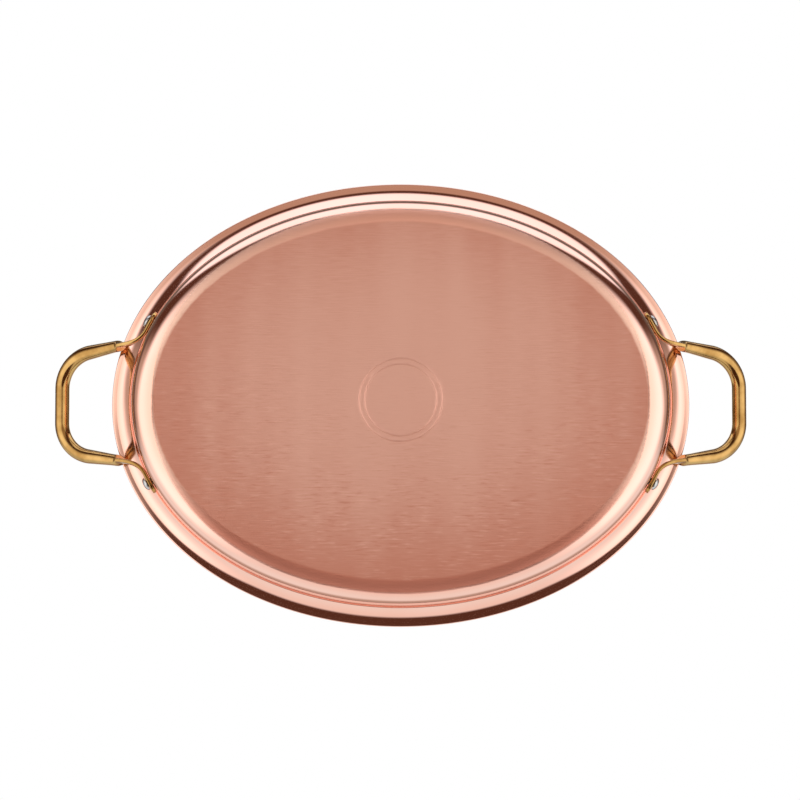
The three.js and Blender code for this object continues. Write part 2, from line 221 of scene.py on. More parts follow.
def corner(turns):
    """Points on the corner of the pan's outside, and the directions through the sheet there."""
    points = CORNER_RADIUS * np.column_stack([np.sin(turns), 1 - np.cos(turns)])
    return points, np.column_stack([-np.sin(turns), np.cos(turns)])


def sweep(start, knee, end, shares):
    """Points on a bend whose end tangents meet at a knee, and the directions through the sheet there."""
    share = shares[:, None]
    points = (1 - share) ** 2 * start + 2 * share * (1 - share) * knee + share**2 * end
    along = unit((1 - share) * (knee - start) + share * (end - knee))
    return points, np.column_stack([-along[:, 1], along[:, 0]])


def flare(shares):
    start = np.array([fold_out, wall_top])
    knee = np.array([fold_out + FLARE_KNEE, lip_level])
    end = np.array([flare_out, lip_level])
    return sweep(start, knee, end, shares)


# Share of the flare that the bend at the fold takes up
FOLD_SHARE = FOLD_SOFTNESS * math.cos(FLARE_START) / (2 * FLARE_KNEE)


def fold():
    top = np.array([fold_out, wall_top])
    below = top - FOLD_SOFTNESS * np.array([math.sin(WALL_DRAFT), math.cos(WALL_DRAFT)])
    beyond, _ = flare(np.array([FOLD_SHARE]))
    return sweep(below, top, beyond[0], np.linspace(0, 1, FOLD_STEPS + 1))


def round_edge(out, middle, sheet):
    """Points between the lower and the upper face of a level sheet's edge."""
    turns = np.linspace(-QUARTER_TURN, QUARTER_TURN, EDGE_STEPS + 1)[1:-1]
    radius = sheet / 2
    return np.column_stack([out - radius * (1 - np.cos(turns)), middle + radius * np.sin(turns)])


def circle_ring(radius, up):
    circle = np.column_stack([np.cos(RING_TURNS), np.sin(RING_TURNS)])
    return np.column_stack([circle * radius, np.full(OVAL_SEGMENTS, up)])


def base_rings(up, pressed):
    """Rings from the middle of the base to its edge: circles first, then growing into the oval."""
    radii = [np.linspace(0, PRESSED_FIELD, FLAT_STEPS + 1)[1:]]
    for line in PRESSED_RADII:
        radii.append(line + PRESSED_WIDTH * np.linspace(-0.5, 0.5, EDGE_STEPS + 1))
    rings = []
    for radius in np.unique(np.concatenate(radii)):
        near = min(abs(radius - line) for line in PRESSED_RADII) / (PRESSED_WIDTH / 2)
        depth = pressed * (1 + math.cos(math.pi * min(near, 1))) / 2
        rings.append(circle_ring(radius, up + depth))
    field = circle_ring(PRESSED_FIELD, up)
    edge = oval_points(RING_TURNS, 0, up)
    for share in np.linspace(0, 1, FLAT_STEPS + 1)[1:-1]:
        rings.append(edge * share + field * (1 - share))
    return rings


def add_object(name, data):
    thing = bpy.data.objects.new(name, data)
    bpy.context.scene.collection.objects.link(thing)
    return thing


def skin(name, rings, first_end, last_end, materials, bands=None):
    """A closed mesh through rings of equally many points, with a material for each band between rings.

    Its UV map runs along and across the rings, in metres.
    """
    rings = np.array(rings) * MM
    height, count = rings.shape[:2]
    last = 1 + height * count
    step = np.linalg.norm(np.diff(rings, axis=0), axis=2).mean(axis=1)
    across = np.concatenate([[0], np.cumsum(step)])
    around = np.linalg.norm(np.roll(rings, -1, axis=1) - rings, axis=2).sum(axis=1).max() / count
    faces, places = [], []
    for i in range(count):
        left, right = i * around, (i + 1) * around
        ahead = (i + 1) % count
        faces.append((0, 1 + ahead, 1 + i))
        places += [(left, 0), (right, across[0]), (left, across[0])]
        for ring in range(height - 1):
            low, high = 1 + ring * count, 1 + (ring + 1) * count
            faces.append((low + i, low + ahead, high + ahead, high + i))
            places += [(left, across[ring]), (right, across[ring])]
            places += [(right, across[ring + 1]), (left, across[ring + 1])]
        top = 1 + (height - 1) * count
        faces.append((last, top + i, top + ahead))
        places += [(left, across[-1]), (left, across[-1]), (right, across[-1])]
    mesh = bpy.data.meshes.new(name)
    vertices = np.vstack([np.array(first_end) * MM, rings.reshape(-1, 3), np.array(last_end) * MM])
    mesh.from_pydata(vertices, [], faces)
    mesh.uv_layers.new(name="along").uv.foreach_set("vector", np.array(places).ravel())
    for material in materials:
        mesh.materials.append(material)
    if bands is not None:
        mesh.polygons.foreach_set("material_index", np.tile(bands, count))
    mesh.shade_smooth()
    return add_object(name, mesh)


def ring_values(piece, name, values):
    """An attribute on a skin's points, with a row for each ring. Either end takes its neighbour's value."""
    flat = values.ravel()
    attribute = piece.data.attributes.new(name, "FLOAT", "POINT")
    attribute.data.foreach_set("value", np.concatenate([flat[:1], flat, flat[-1:]]).astype(np.float32))


# Node trees


class Wire:
    """An output of a node. Arithmetic on it adds Math nodes."""

    def __init__(self, nodes, socket):
        self.nodes = nodes
        self.socket = socket

    def __add__(self, other):
        return self.nodes.math("ADD", self, other)

    def __sub__(self, other):
        return self.nodes.math("SUBTRACT", self, other)

    def __rsub__(self, other):
        return self.nodes.math("SUBTRACT", other, self)

    def __mul__(self, other):
        return self.nodes.math("MULTIPLY", self, other)

    def __truediv__(self, other):
        return self.nodes.math("DIVIDE", self, other)

    __radd__ = __add__
    __rmul__ = __mul__


class Nodes:
    """A node tree that grows node by node."""

    def __init__(self, tree):
        self.tree = tree
        tree.nodes.clear()

    def node(self, kind, sockets=None, output=0, **settings):
        """Add a node with its settings and what goes into its sockets, and return one of its outputs."""
        made = self.tree.nodes.new(kind)
        for name, value in settings.items():
            setattr(made, name, value)
        for name, value in (sockets or {}).items():
            if isinstance(value, Wire):
                self.tree.links.new(value.socket, made.inputs[name])
            else:
                made.inputs[name].default_value = value
        return Wire(self, made.outputs[output]) if made.outputs else None

    def math(self, operation, *terms):
        return self.node("ShaderNodeMath", dict(enumerate(terms)), operation=operation)

    def axes(self, vector):
        first = self.node("ShaderNodeSeparateXYZ", {"Vector": vector})
        return [Wire(self, socket) for socket in first.socket.node.outputs]

    def place(self, kind):
        """Coordinates of one kind, such as Object or UV."""
        return self.node("ShaderNodeTexCoord", output=kind)

    def attribute(self, name):
        return self.node("ShaderNodeAttribute", output="Fac", attribute_name=name)

    def mix(self, share, first, second):
        return self.node("ShaderNodeMix", {0: share, 6: first, 7: second}, output=2, data_type="RGBA")

    def fade(self, value, first, last, before=0.0, after=1.0):
        """A soft step, from before to after, as a value goes from first to last."""
        return self.node("ShaderNodeMapRange", {
            "Value": value, "From Min": first, "From Max": last, "To Min": before, "To Max": after,
        }, interpolation_type="SMOOTHSTEP")

    def noise(self, place, grains, detail=2.0):
        """Noise about 0.5, with so many grains to the metre along each axis."""
        stretched = self.node("ShaderNodeMapping", {"Vector": place, "Scale": grains})
        return self.node("ShaderNodeTexNoise", {"Vector": stretched, "Scale": 1.0, "Detail": detail})

    def bump(self, height):
        """Normals of a relief whose height is given in millimetres."""
        return self.node("ShaderNodeBump", {"Strength": 1.0, "Distance": MM, "Height": height})


def new_material(name):
    material = bpy.data.materials.new(name)
    material.use_nodes = True
    return material, Nodes(material.node_tree)


def metal(name, finish):
    """A metal whose finish is a function that returns what goes into the shader's sockets."""
    material, nodes = new_material(name)
    shader = nodes.node("ShaderNodeBsdfPrincipled", {"Metallic": 1.0, **finish(nodes)})
    nodes.node("ShaderNodeOutputMaterial", {"Surface": shader})
    return material


def colour(red, green, blue):
    """A colour for a shader from the numbers of a picture."""
    return tuple(((v / 255 + 0.055) / 1.055) ** 2.4 for v in (red, green, blue)) + (1.0,)


# Finishes

COPPER = colour(248, 197, 178)
WARM_COPPER = colour(243, 188, 166)
SATIN_COPPER = colour(255, 209, 187)
FRONT_SATIN_COPPER = colour(249, 188, 163)
# Darker satin at the back is painted shade
SHADED_BACK_SATIN_COPPER = colour(214, 138, 115)
# Brushed base: the pale colour carries light marks and the painted sheen in the middle, the dark one dark
# marks and the painted shade at the edges
PALE_MARK_AND_SHEEN_COPPER = colour(239, 189, 169)
DARK_MARK_AND_SHADE_COPPER = colour(218, 151, 128)
TIN_GREY = colour(214, 212, 207)
TIN_WHITE = colour(236, 234, 229)
CLEAN_BRASS = colour(200, 158, 93)
TARNISHED_BRASS = colour(160, 118, 58)
RIVET_GREY = colour(168, 166, 163)
RIVET_SILVER = colour(212, 210, 207)

# Stretches from front to back, in metres, over which the pan's copper changes: the scratches grow more, and
# the satin darkens with painted shade towards the back
FEW_TO_MANY_SCRATCHES = (-0.05, 0.06)
FRONT_TO_SHADED_BACK_SATIN = (-0.06, 0.06)
PALE_TO_SHADED_BACK_SATIN = (0.02, 0.08)


def polish(nodes):
    """Mirror polish with hairlines that follow the sheet round."""
    place = nodes.place("Object")
    cloud = nodes.noise(place, (16, 16, 16), 3.0)
    ripple = nodes.noise(place, (22, 22, 22), 1.0)
    hairs = nodes.noise(nodes.place("UV"), (14, 2600, 1))
    return {
        "colour": nodes.mix(nodes.fade(cloud, 0.35, 0.7, 0.0, 0.6), COPPER, WARM_COPPER),
        "roughness": nodes.fade(hairs, 0.3, 0.75, 0.05, 0.12) + 0.04 * cloud,
        "height": 0.003 * hairs + 0.3 * ripple,
    }


def scratches(nodes, place, back):
    """Light and dark scratches along the base, in patches and most of them towards the back, about 0."""
    dashes = nodes.noise(place, (120, 1000, 1))
    patches = nodes.fade(nodes.noise(place, (30, 50, 1)), 0.3, 0.6, 0.15, 1.0)
    worn = patches * nodes.fade(back, *FEW_TO_MANY_SCRATCHES, 0.25, 1.0)
    return worn * (nodes.fade(dashes, 0.54, 0.72) - nodes.fade(dashes, 0.28, 0.46, 1.0, 0.0))


def pan_copper(nodes):
    """Polished sides, and a base brushed along its length with a satin border round the corner."""
    place = nodes.place("Object")
    x, y, _ = nodes.axes(place)
    polished = polish(nodes)

    # Borders of the finishes. Along the long sides the satin border is abraded like the base.
    ragged = nodes.noise(place, (60, 260, 1)) - 0.5
    brushed = nodes.fade(nodes.attribute("past_base") + ragged, 0.0, 1.6, 1.0, 0.0)
    satin = nodes.fade(nodes.attribute("past_satin") + 0.5 * ragged, -1.0, 1.0, 1.0, 0.0)
    border = satin - brushed
    abraded = brushed + nodes.attribute("long_side") * border

    # Brush marks
    strokes = nodes.noise(place, (80, 1500, 1), 3.0)
    fine = nodes.noise(place, (160, 4200, 1))
    bands = nodes.noise(place, (46, 5, 1), 1.0)
    marks = 0.25 * strokes + 0.3 * bands + 0.15 * fine + 0.2 * scratches(nodes, place, y)

    # Colours. Brush marks mixed with a painted sheen and painted shade: the base is palest a little in front
    # of its middle and darkens towards its edges.
    long_half, wide_half = base_half * MM
    aside = y + PAINTED_SHEEN_SHIFT * MM
    outward = x * x * long_half**-2 + aside * aside * wide_half**-2
    tone = nodes.fade(marks + 0.45 - 0.4 * outward, 0.2, 0.85)
    base = nodes.mix(tone, DARK_MARK_AND_SHADE_COPPER, PALE_MARK_AND_SHEEN_COPPER)
    # Painted shade: the satin border and the satin round the sides darken towards the back.
    border_copper = nodes.mix(nodes.fade(y, *FRONT_TO_SHADED_BACK_SATIN), FRONT_SATIN_COPPER, SHADED_BACK_SATIN_COPPER)
    base = nodes.mix(0.9 * border, base, border_copper)
    satin_copper = nodes.mix(nodes.fade(y, *PALE_TO_SHADED_BACK_SATIN), SATIN_COPPER, SHADED_BACK_SATIN_COPPER)
    sides = nodes.mix(satin, polished["colour"], satin_copper)

    satin_roughness = 0.36 + 0.18 * abraded + brushed * (0.03 + 0.06 * strokes)
    satin_height = 0.1 * strokes + 0.05 * fine
    return {
        "Base Color": nodes.mix(abraded, sides, base),
        "Roughness": satin * satin_roughness + (1 - satin) * polished["roughness"],
        "Normal": nodes.bump(satin * satin_height + (1 - satin) * polished["height"]),
    }


def lid_copper(nodes):
    polished = polish(nodes)
    return {
        "Base Color": polished["colour"],
        "Roughness": polished["roughness"],
        "Normal": nodes.bump(polished["height"]),
    }


def tin_lining(nodes):
    """Wiped tin: silvery, a little cloudy, with soft wipe marks."""
    cloud = nodes.noise(nodes.place("Object"), (30, 30, 30), 4.0)
    wipes = nodes.noise(nodes.place("UV"), (20, 700, 1), 3.0)
    return {
        "Base Color": nodes.mix(cloud, TIN_GREY, TIN_WHITE),
        "Roughness": 0.2 + 0.12 * wipes + 0.08 * cloud,
        "Normal": nodes.bump(0.02 * wipes + 0.06 * cloud),
    }


def handle_brass(nodes):
    """Brass drawn along the rod under thin lacquer, a little tarnished in patches."""
    place = nodes.place("Object")
    patches = nodes.noise(place, (90, 90, 90), 4.0)
    pits = nodes.noise(place, (900, 900, 900))
    drawn = nodes.noise(nodes.place("UV"), (2400, 30, 1))
    return {
        "Base Color": nodes.mix(nodes.fade(patches, 0.35, 0.7), CLEAN_BRASS, TARNISHED_BRASS),
        "Roughness": 0.09 + 0.06 * drawn + 0.05 * patches,
        "Coat Weight": 0.25,
        "Coat Roughness": 0.1,
        "Normal": nodes.bump(0.012 * drawn + 0.01 * pits),
    }


def rivet_metal(nodes):
    """Silvery alloy with the small dents of a hammer."""
    dents = nodes.noise(nodes.place("Object"), (420, 420, 420), 3.0)
    return {
        "Base Color": nodes.mix(dents, RIVET_GREY, RIVET_SILVER),
        "Roughness": 0.2 + 0.2 * dents,
        "Normal": nodes.bump(0.12 * dents),
    }


PAN_COPPER = metal("pan_copper", pan_copper)
LID_COPPER = metal("lid_copper", lid_copper)
TIN = metal("tin_lining", tin_lining)
BRASS = metal("handle_brass", handle_brass)
RIVET_METAL = metal("rivet_metal", rivet_metal)


# Pan


def add_finish_borders(piece, ring_out):
    """Attributes that lead the pan's finishes, from how far each ring lies outside the edge of the base."""
    out = ring_out[:, None]
    sideways = np.abs(oval_normal(RING_TURNS)[:, 1])
    satin_out = SATIN_REACH + SATIN_REACH_GROWTH * sideways**SATIN_GROWTH_POWER
    shape = (len(ring_out), OVAL_SEGMENTS)
    ring_values(piece, "past_base", np.broadcast_to(out, shape))
    ring_values(piece, "past_satin", (out - satin_out) / SATIN_EDGE)
    ring_values(piece, "long_side", np.broadcast_to(sideways**LONG_SIDE_POWER, shape))


def add_pan():
    corner_points, corner_inward = corner(np.linspace(0, QUARTER_TURN - WALL_DRAFT, BEND_STEPS + 1))
    fold_points, fold_inward = fold()
    flare_points, flare_inward = flare(np.linspace(FOLD_SHARE, 1, BEND_STEPS + 1)[1:])
    lip = [rim_out - PAN_SHEET / 2, lip_level]
    outside = np.vstack([corner_points, fold_points, flare_points, lip])
    inside = outside + PAN_SHEET * np.vstack([corner_inward, fold_inward, flare_inward, [0, 1]])
    edge = round_edge(rim_out, PAN_HEIGHT - PAN_SHEET / 2, PAN_SHEET)
    under = base_rings(0, PRESSED_DEPTH)
    floor = base_rings(PAN_SHEET, 0)[::-1]
    rings = [*under, *oval_rings(outside), *oval_rings(edge), *oval_rings(inside[::-1]), *floor]
    copper_bands = len(under) + len(outside) + len(edge)
    bands = [0] * copper_bands + [1] * (len(rings) + 1 - copper_bands)
    piece = skin("pan", rings, [0, 0, 0], [0, 0, PAN_SHEET], [PAN_COPPER, TIN], bands)
    rest = len(rings) - len(under) - len(outside)
    add_finish_borders(piece, np.concatenate([
        np.full(len(under), WELL_INSIDE), outside[:, 0], np.full(rest, WELL_OUTSIDE),
    ]))
    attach(piece, "pan")
    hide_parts("pan_body")


# Handles


def section(half_thin, half_wide, power):
    """Outline of a bar: a circle at power 2, a rectangle with round corners at a higher power."""
    turns = np.linspace(0, FULL_TURN, ROD_SIDES, endpoint=False)
    swell = [np.sign(v) * np.abs(v) ** (2 / power) for v in (np.cos(turns), np.sin(turns))]
    return np.column_stack([half_thin * swell[0], half_wide * swell[1]])


# Half the thickness, half the width and the power of the strap, of the arm at the shoulder and of the rod
FLAT = np.array([STRAP_THICKNESS / 2, STRAP_WIDTH / 2, STRAP_POWER])
ARM = np.array([ARM_THICKNESS / 2, ARM_WIDTH / 2, ARM_POWER])
ROUND = np.array([ROD_DIAMETER / 2, ROD_DIAMETER / 2, ROD_POWER])


def tip_section(distance):
    """Section of the strap at a distance from its round tip."""
    half_thin, half_wide, power = FLAT
    missing = max(1 - distance / half_wide, 0)
    blunt = math.sqrt(min(distance / STRAP_THICKNESS, 1))
    thinned = TIP_THICKNESS + (1 - TIP_THICKNESS) * blunt
    return section(half_thin * thinned, half_wide * math.sqrt(1 - missing**2), power)


def sections_between(first, last, shares):
    return [section(*(first + (last - first) * share)) for share in shares]


# Distances from a strap's tip to its sections as far as the strap's seat, closest together at the tip
TAB_DISTANCES = np.concatenate([
    STRAP_WIDTH / 2 * (1 - np.cos(np.linspace(FIRST_TIP_TURN, QUARTER_TURN, TIP_STEPS + 1))),
    np.linspace(STRAP_WIDTH / 2, TAB_END + TAB_SEAT, TAB_STEPS + 1)[1:],
])
# Sections of half a handle, from a strap's tip to where the arm has grown round
HALF_SECTIONS = [
    *[tip_section(distance) for distance in TAB_DISTANCES],
    *[section(*FLAT)] * (STRAP_STEPS - 1),
    *sections_between(FLAT, ARM, ease(0, 1, np.linspace(0, 1, SHOULDER_STEPS + 1))),
    *sections_between(ARM, ROUND, np.linspace(0, 1, ARM_STEPS + 1)[1:-1]),
]


def rod_outline(shoulder_reach):
    """Half of the rod in its own plane, from the shoulder to the middle of the bar, as reach and side."""
    turns = np.linspace(QUARTER_TURN - ARM_SPLAY, 0, BEND_STEPS + 1)
    bend = np.column_stack([
        BEND_RADIUS * (1 - np.cos(turns)), BAR_STRAIGHT / 2 + BEND_RADIUS * np.sin(turns),
    ])
    arm_length = shoulder_reach - bend[0, 0]
    reach = shoulder_reach - np.concatenate([
        np.linspace(0, SHOULDER_LENGTH, SHOULDER_STEPS + 1),
        np.linspace(SHOULDER_LENGTH, arm_length, ARM_STEPS + 1)[1:-1],
    ])
    arm = np.column_stack([reach, bend[0, 1] + (reach - bend[0, 0]) * math.tan(ARM_SPLAY)])
    bar = np.column_stack([np.zeros(BAR_STEPS), np.linspace(BAR_STRAIGHT / 2, 0, BAR_STEPS + 1)[1:]])
    return np.vstack([arm, bend, bar])


def free_strap(start, start_heading, end, end_heading):
    """Points on the curve of a strap between its seat and the arm."""
    pull = np.linalg.norm(end - start) * STRAP_PULL
    share = np.linspace(0, 1, STRAP_STEPS + 1)[1:, None]
    leave, arrive = start + start_heading * pull, end - end_heading * pull
    rest = 1 - share
    return rest**3 * start + 3 * rest**2 * share * leave + 3 * rest * share**2 * arrive + share**3 * end


def add_bar(name, middles, wide, mirror_axis, turned=False):
    """One bar through a half's middles and their mirror image, with its flat ends wide along a direction."""
    sections = HALF_SECTIONS + [section(*ROUND)] * (len(middles) - len(HALF_SECTIONS))
    flip = np.ones(3)
    flip[mirror_axis] = -1
    middles = np.vstack([middles, middles[-2::-1] * flip])
    wide = np.vstack([wide, wide[-2::-1] * flip])
    sections = np.array(sections + sections[-2::-1])
    along = unit(np.gradient(middles, axis=0))
    upright = unit(wide - along * (wide * along).sum(axis=1, keepdims=True))
    sideways = np.cross(upright, along)
    rings = middles[:, None] + sections[:, :, :1] * sideways[:, None] + sections[:, :, 1:] * upright[:, None]
    if turned:
        half_turn = np.array([-1, -1, 1])
        rings, middles = rings * half_turn, middles * half_turn
    return skin(name, rings, middles[0], middles[-1], [BRASS])


tab_height = (corner_top + wall_top) / 2
strap_out = wall_out_at(tab_height) + (SEAT_GAP + STRAP_THICKNESS / 2) / math.cos(WALL_DRAFT)


def rivet_turn():
    """Where on the oval the rivet of the back right strap is."""
    turns = np.linspace(0, QUARTER_TURN, SEARCH_POINTS)
    return turns[np.searchsorted(oval_points(turns, strap_out, 0)[:, 1], RIVET_SPACING / 2)]


def pan_handle_half():
    """Middles of the back half of the right handle, and the directions along which it is wide."""
    bar_x = RIM_LENGTH / 2 + GRIP_REACH
    outline = rod_outline(GRIP_REACH + SHOULDER_INSET)
    turn = rivet_turn()
    near = oval_points(np.array([turn, turn + SMALL_TURN]), strap_out, 0)
    pace = np.linalg.norm(near[1] - near[0]) / SMALL_TURN
    turns = turn + (TAB_END - TAB_DISTANCES) / pace
    tab = oval_points(turns, strap_out, 0)
    rod = np.column_stack([bar_x - outline[:, 0], outline[:, 1], np.zeros(len(outline))])
    leaving, shoulder = tab[-1], rod[0]
    arm_heading = np.array([math.cos(ARM_SPLAY), -math.sin(ARM_SPLAY), 0])
    free = free_strap(leaving, unit(tab[-1] - tab[-2]), shoulder, arm_heading)
    half = np.vstack([tab, free[:-1], rod])

    # The strap bends upwards as far as the shoulder, and the rod goes on straight.
    bend_run = shoulder[0] - leaving[0]
    slope = (PAN_HEIGHT + GRIP_RISE - tab_height) / (bar_x - shoulder[0] + bend_run / 2)
    bent = np.clip(half[:, 0] - leaving[0], 0, bend_run)
    straight = np.maximum(half[:, 0] - shoulder[0], 0)
    half[:, 2] = tab_height + slope * (bent**2 / (2 * bend_run) + straight)

    # The strap leans like the wall, and the lean fades out as far as the shoulder.
    lean = np.vstack([oval_normal(turns), np.tile(oval_normal(turns[-1:]), (len(half) - len(tab), 1))])
    lean *= (math.tan(WALL_DRAFT) * (1 - ease(0, bend_run, bent)))[:, None]
    return half, np.column_stack([lean, np.ones(len(half))])


def add_pan_handles():
    half, wide = pan_handle_half()
    for side in ("right", "left"):
        piece = add_bar(f"{side}_grip", half, wide, 1, turned=side == "left")
        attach(piece, "pan")
        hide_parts(f"{side}_handle")


# Lid, with its profile at the middle of the sheet

lid_level = PAN_HEIGHT + SEAT_GAP + LID_SHEET / 2
lid_out = rim_out - LID_EDGE_INSET
groove_bottom = PAN_HEIGHT - LID_GROOVE_DEPTH
groove_floor = groove_bottom + LID_SHEET / 2


def mouth_out_at(height):
    points, inward = flare(np.linspace(0, 1, SEARCH_POINTS))
    inside = points + inward * PAN_SHEET
    return np.interp(height, inside[:, 1], inside[:, 0])


groove_out = mouth_out_at(groove_bottom) - MOUTH_CLEARANCE - LID_SHEET / 2
dome_out = groove_out - LID_GROOVE_RADIUS
dome_half_length = base_half[0] + dome_out
crown = groove_floor + LID_DOME_RISE


def dome_height(share):
    return groove_floor + LID_DOME_RISE * (1 - share**2) ** 2


def over_dome(x, height):
    """Points above the long axis of the dome, and the directions that leave the sheet there."""
    share = x / dome_half_length
    slope = -4 * LID_DOME_RISE * share * (1 - share**2) / dome_half_length
    outward = unit(np.column_stack([-slope, np.zeros(len(x)), np.ones(len(x))]))
    return np.column_stack([x, np.zeros(len(x)), dome_height(share)]) + outward * height, outward


def lid_edge_profile():
    """The groove, the bend out of it and the level edge, and the directions through the sheet there."""
    turns = np.linspace(QUARTER_TURN, 0, GROOVE_STEPS + 1)
    cosines, sines = np.cos(turns), np.sin(turns)
    groove = np.column_stack([
        dome_out + LID_GROOVE_RADIUS * cosines, groove_floor + LID_GROOVE_RADIUS * (1 - sines),
    ])
    bend = np.column_stack([
        groove_out + LID_GROOVE_RADIUS * (1 - sines), lid_level - LID_GROOVE_RADIUS * (1 - cosines),
    ])
    middle = np.vstack([groove, bend, [lid_out - LID_SHEET / 2, lid_level]])
    groove_inward = np.column_stack([-cosines, sines])
    bend_inward = np.column_stack([-sines, cosines])
    return middle, np.vstack([groove_inward, bend_inward, [0, 1]])


def add_lid():
    half = LID_SHEET / 2
    middle, inward = lid_edge_profile()
    below, above = middle - inward * half, (middle + inward * half)[::-1]
    edge = round_edge(lid_out, lid_level, LID_SHEET)
    shares = np.linspace(0, 1, DOME_STEPS + 1)[1:-1]
    foot = oval_points(RING_TURNS, dome_out, 0)

    def dome_ring(share, lift):
        return foot * share + UP * (dome_height(share) + lift)

    under = [dome_ring(share, -half) for share in shares] + oval_rings(below)
    over = oval_rings(edge) + oval_rings(above) + [dome_ring(share, half) for share in shares[::-1]]
    bands = [1] * len(under) + [0] * (len(over) + 1)
    ends = UP * (crown - half), UP * (crown + half)
    piece = skin("lid", under + over, *ends, [LID_COPPER, TIN], bands)
    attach(piece, "lid")
    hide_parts("lid_shell")


def add_lid_handle():
    bar_z = crown + LID_GRIP_HEIGHT
    outline = rod_outline(LID_GRIP_HEIGHT - LID_SHOULDER_HEIGHT)
    seat_height = LID_SHEET / 2 + SEAT_GAP + STRAP_THICKNESS / 2
    tab, _ = over_dome(LID_RIVET_SPACING / 2 + TAB_END - TAB_DISTANCES, seat_height)
    rod = np.column_stack([outline[:, 1], np.zeros(len(outline)), bar_z - outline[:, 0]])
    arm_heading = np.array([-math.sin(ARM_SPLAY), 0, math.cos(ARM_SPLAY)])
    free = free_strap(tab[-1], unit(tab[-1] - tab[-2]), rod[0], arm_heading)
    half = np.vstack([tab, free[:-1], rod])
    piece = add_bar("lid_grip", half, np.tile(ACROSS, (len(half), 1)), 0)
    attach(piece, "lid")
    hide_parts("lid_handle")


# Rivets

# Sizes that the rivets' node tree is given. The seat of the tail comes with the sheet.
RIVET_SIZES = {
    "Head Radius": HEAD_DIAMETER / 2,
    "Head Height": HEAD_HEIGHT,
    "Head Seat": STRAP_THICKNESS + 2 * SEAT_GAP,
    "Shank Radius": SHANK_DIAMETER / 2,
    "Tail Radius": TAIL_DIAMETER / 2,
    "Tail Height": TAIL_HEIGHT,
}


def rivet_body(nodes, size):
    """A grid rolled into a body of revolution: one side is the profile, the other goes round."""
    rings = 2 * RIVET_STEPS + 4
    grid = nodes.node("GeometryNodeMeshGrid", {"Vertices X": rings, "Vertices Y": RIVET_SIDES + 1})
    x, y, _ = nodes.axes(nodes.node("GeometryNodeInputPosition"))
    around = (y + 0.5) * FULL_TURN

    # The profile has the rings of the tail, then one at either end of the shank, then those of the head.
    step = (x + 0.5) * (rings - 1)
    tail_turn = nodes.math("MAXIMUM", 1 - step / RIVET_STEPS, 0.0) * QUARTER_TURN
    head_turn = nodes.math("MAXIMUM", (step - RIVET_STEPS - 3) / RIVET_STEPS, 0.0) * QUARTER_TURN
    in_tail = nodes.math("LESS_THAN", step, RIVET_STEPS + 0.5)
    past_shank = nodes.math("GREATER_THAN", step, RIVET_STEPS + 1.5)
    in_head = nodes.math("GREATER_THAN", step, RIVET_STEPS + 2.5)
    blunt = nodes.math("POWER", nodes.math("ABSOLUTE", nodes.math("COSINE", tail_turn)), TAIL_POWER)
    radius = (
        in_tail * (size["Tail Radius"] * blunt)
        + in_head * (size["Head Radius"] * nodes.math("COSINE", head_turn))
        + (1 - in_tail) * (1 - in_head) * size["Shank Radius"]
    )
    level = (
        past_shank * size["Head Seat"] - (1 - past_shank) * size["Tail Seat"]
        + in_head * (size["Head Height"] * nodes.math("SINE", head_turn))
        - in_tail * (size["Tail Height"] * nodes.math("SINE", tail_turn))
    )
    rolled = nodes.node("ShaderNodeCombineXYZ", {
        "X": radius * nodes.math("COSINE", around), "Y": radius * nodes.math("SINE", around), "Z": level,
    })
    body = nodes.node("GeometryNodeSetPosition", {"Geometry": grid, "Position": rolled})
    return nodes.node("GeometryNodeMergeByDistance", {"Geometry": body, "Distance": MERGE_DISTANCE * MM})


def rivet_tree():
    """Geometry nodes that set one rivet at each point, along the point's outward direction."""
    tree = bpy.data.node_groups.new("rivets", "GeometryNodeTree")
    nodes = Nodes(tree)
    tree.interface.new_socket("Geometry", in_out="INPUT", socket_type="NodeSocketGeometry")
    for name in (*RIVET_SIZES, "Tail Seat"):
        tree.interface.new_socket(name, in_out="INPUT", socket_type="NodeSocketFloat")
    tree.interface.new_socket("Material", in_out="INPUT", socket_type="NodeSocketMaterial")
    tree.interface.new_socket("Geometry", in_out="OUTPUT", socket_type="NodeSocketGeometry")
    inputs = tree.nodes.new("NodeGroupInput").outputs
    given = {socket.name: Wire(nodes, socket) for socket in inputs}
    body = rivet_body(nodes, given)
    outward = nodes.node("GeometryNodeInputNamedAttribute", {"Name": "outward"}, data_type="FLOAT_VECTOR")
    turned = nodes.node("FunctionNodeAlignRotationToVector", {"Vector": outward}, axis="Z")
    copies = nodes.node("GeometryNodeInstanceOnPoints", {
        "Points": given["Geometry"], "Instance": body, "Rotation": turned,
    })
    solid = nodes.node("GeometryNodeRealizeInstances", {"Geometry": copies})
    smooth = nodes.node("GeometryNodeSetShadeSmooth", {"Geometry": solid})
    painted = nodes.node("GeometryNodeSetMaterial", {"Geometry": smooth, "Material": given["Material"]})
    nodes.node("NodeGroupOutput", {"Geometry": painted})
    return tree


def add_rivets(tree, name, points, outward, sheet, body, replaced):
    mesh = bpy.data.meshes.new(name)
    mesh.from_pydata(points * MM, [], [])
    mesh.attributes.new("outward", "FLOAT_VECTOR", "POINT").data.foreach_set("vector", outward.ravel())
    seed = add_object(f"{name}_points", mesh)
    modifier = seed.modifiers.new("rivets", "NODES")
    modifier.node_group = tree
    sizes = {**RIVET_SIZES, "Tail Seat": sheet + SEAT_GAP}
    for socket in tree.interface.items_tree:
        if socket.name in sizes:
            modifier[socket.identifier] = sizes[socket.name] * MM
        elif socket.name == "Material":
            modifier[socket.identifier] = RIVET_METAL
    evaluated = seed.evaluated_get(bpy.context.evaluated_depsgraph_get())
    piece = add_object(name, bpy.data.meshes.new_from_object(evaluated))
    bpy.data.objects.remove(seed)
    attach(piece, body)
    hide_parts(*replaced)


